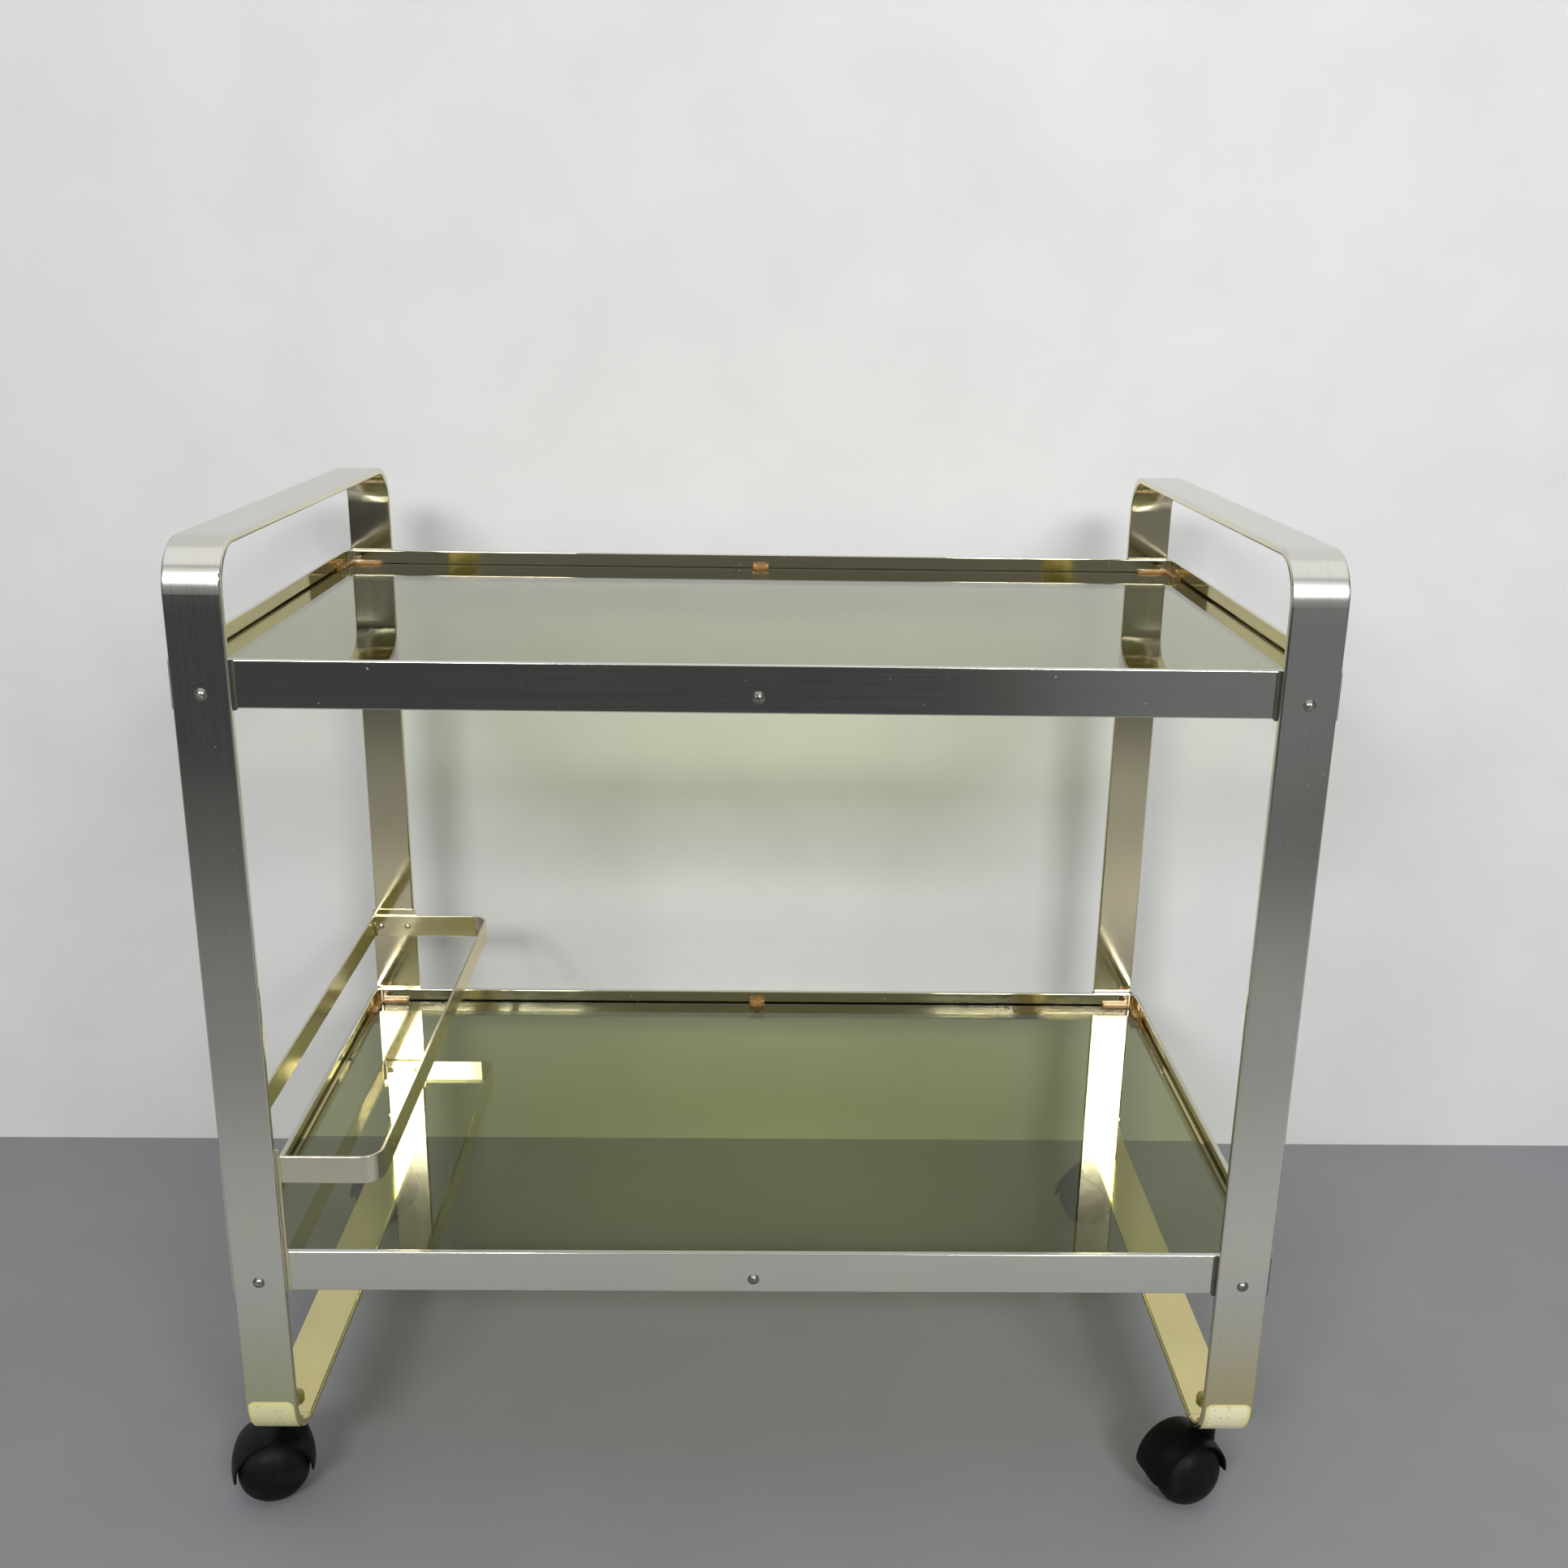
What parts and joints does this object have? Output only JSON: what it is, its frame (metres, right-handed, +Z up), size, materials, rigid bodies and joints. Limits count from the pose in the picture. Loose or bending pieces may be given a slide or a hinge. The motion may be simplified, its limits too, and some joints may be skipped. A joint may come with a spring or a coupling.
{
  "type": "bar cart",
  "caption": "Rectangular bar cart: bent flat-bar side frames with handles, framed glass shelves, a strip bottle holder over the lower shelf and swivelling twin-wheel casters.",
  "frame": {"origin": "on the floor, under the middle of the four caster stems", "axes": "+X to the right along the shelves, away from the bottle holder; +Y to the rear; +Z up"},
  "size_m": [0.7362, 0.4408, 0.7025],
  "materials": {
    "champagne_aluminium": "satin anodised",
    "shelf_aluminium": "satin anodised",
    "holder_aluminium": "satin anodised",
    "smoked_glass": "polished, smoke tint",
    "amber_plastic": "translucent",
    "brown_plastic": "smooth",
    "nickel_steel": "nickel plated",
    "zinc_steel": "zinc plated",
    "black_plastic": "moulded",
    "wheel_plastic": "moulded, worn tread"
  },
  "bodies": {
    "cart": {"left_side_frame": "champagne_aluminium", "right_side_frame": "champagne_aluminium", "bottle_holder": "holder_aluminium", "front_holder_bracket": "holder_aluminium", "rear_holder_bracket": "holder_aluminium", "holder_rivets": "nickel_steel", "caster_stems": "zinc_steel", "caster_stem_caps": "zinc_steel", "upper_packing_plates": "brown_plastic", "lower_packing_plates": "brown_plastic", "upper_shelf_frame": "shelf_aluminium", "upper_glass_shelf": "smoked_glass", "upper_corner_clips": "amber_plastic", "upper_corner_screws": "nickel_steel", "upper_corner_nuts": "zinc_steel", "upper_middle_clips": "amber_plastic", "upper_middle_screws": "nickel_steel", "upper_middle_nuts": "zinc_steel", "lower_shelf_frame": "shelf_aluminium", "lower_glass_shelf": "smoked_glass", "lower_corner_clips": "amber_plastic", "lower_corner_screws": "nickel_steel", "lower_corner_nuts": "zinc_steel", "lower_middle_clips": "amber_plastic", "lower_middle_screws": "nickel_steel", "lower_middle_nuts": "zinc_steel"},
    "front_left_caster": {"front_left_caster_hood": "black_plastic", "front_left_caster_axle": "zinc_steel"},
    "front_left_left_wheel": {"front_left_left_wheel": "wheel_plastic"},
    "front_left_right_wheel": {"front_left_right_wheel": "wheel_plastic"},
    "front_right_caster": {"front_right_caster_hood": "black_plastic", "front_right_caster_axle": "zinc_steel"},
    "front_right_left_wheel": {"front_right_left_wheel": "wheel_plastic"},
    "front_right_right_wheel": {"front_right_right_wheel": "wheel_plastic"},
    "rear_left_caster": {"rear_left_caster_hood": "black_plastic", "rear_left_caster_axle": "zinc_steel"},
    "rear_left_left_wheel": {"rear_left_left_wheel": "wheel_plastic"},
    "rear_left_right_wheel": {"rear_left_right_wheel": "wheel_plastic"},
    "rear_right_caster": {"rear_right_caster_hood": "black_plastic", "rear_right_caster_axle": "zinc_steel"},
    "rear_right_left_wheel": {"rear_right_left_wheel": "wheel_plastic"},
    "rear_right_right_wheel": {"rear_right_right_wheel": "wheel_plastic"}
  },
  "joints": [
    {"name": "front_left_swivel", "type": "hinge", "parent": "cart", "child": "front_left_caster", "pos_m": [-0.3325, -0.171, 0.06], "axis": [0, 0, 1], "continuous": true},
    {"name": "front_left_left_wheel_spin", "type": "hinge", "parent": "front_left_caster", "child": "front_left_left_wheel", "pos_m": [-0.34924, -0.17612, 0.025], "axis": [0.2924, -0.9563, 0], "continuous": true},
    {"name": "front_left_right_wheel_spin", "type": "hinge", "parent": "front_left_caster", "child": "front_left_right_wheel", "pos_m": [-0.34924, -0.17612, 0.025], "axis": [0.2924, -0.9563, 0], "continuous": true},
    {"name": "front_right_swivel", "type": "hinge", "parent": "cart", "child": "front_right_caster", "pos_m": [0.3325, -0.171, 0.06], "axis": [0, 0, 1], "continuous": true},
    {"name": "front_right_left_wheel_spin", "type": "hinge", "parent": "front_right_caster", "child": "front_right_left_wheel", "pos_m": [0.31627, -0.17756, 0.025], "axis": [0.3746, -0.9272, 0], "continuous": true},
    {"name": "front_right_right_wheel_spin", "type": "hinge", "parent": "front_right_caster", "child": "front_right_right_wheel", "pos_m": [0.31627, -0.17756, 0.025], "axis": [0.3746, -0.9272, 0], "continuous": true},
    {"name": "rear_left_swivel", "type": "hinge", "parent": "cart", "child": "rear_left_caster", "pos_m": [-0.3325, 0.171, 0.06], "axis": [0, 0, 1], "continuous": true},
    {"name": "rear_left_left_wheel_spin", "type": "hinge", "parent": "rear_left_caster", "child": "rear_left_left_wheel", "pos_m": [-0.34895, 0.17699, 0.025], "axis": [-0.342, -0.9397, 0], "continuous": true},
    {"name": "rear_left_right_wheel_spin", "type": "hinge", "parent": "rear_left_caster", "child": "rear_left_right_wheel", "pos_m": [-0.34895, 0.17699, 0.025], "axis": [-0.342, -0.9397, 0], "continuous": true},
    {"name": "rear_right_swivel", "type": "hinge", "parent": "cart", "child": "rear_right_caster", "pos_m": [0.3325, 0.171, 0.06], "axis": [0, 0, 1], "continuous": true},
    {"name": "rear_right_left_wheel_spin", "type": "hinge", "parent": "rear_right_caster", "child": "rear_right_left_wheel", "pos_m": [0.31799, 0.18079, 0.025], "axis": [-0.5592, -0.829, 0], "continuous": true},
    {"name": "rear_right_right_wheel_spin", "type": "hinge", "parent": "rear_right_caster", "child": "rear_right_right_wheel", "pos_m": [0.31799, 0.18079, 0.025], "axis": [-0.5592, -0.829, 0], "continuous": true}
  ]
}
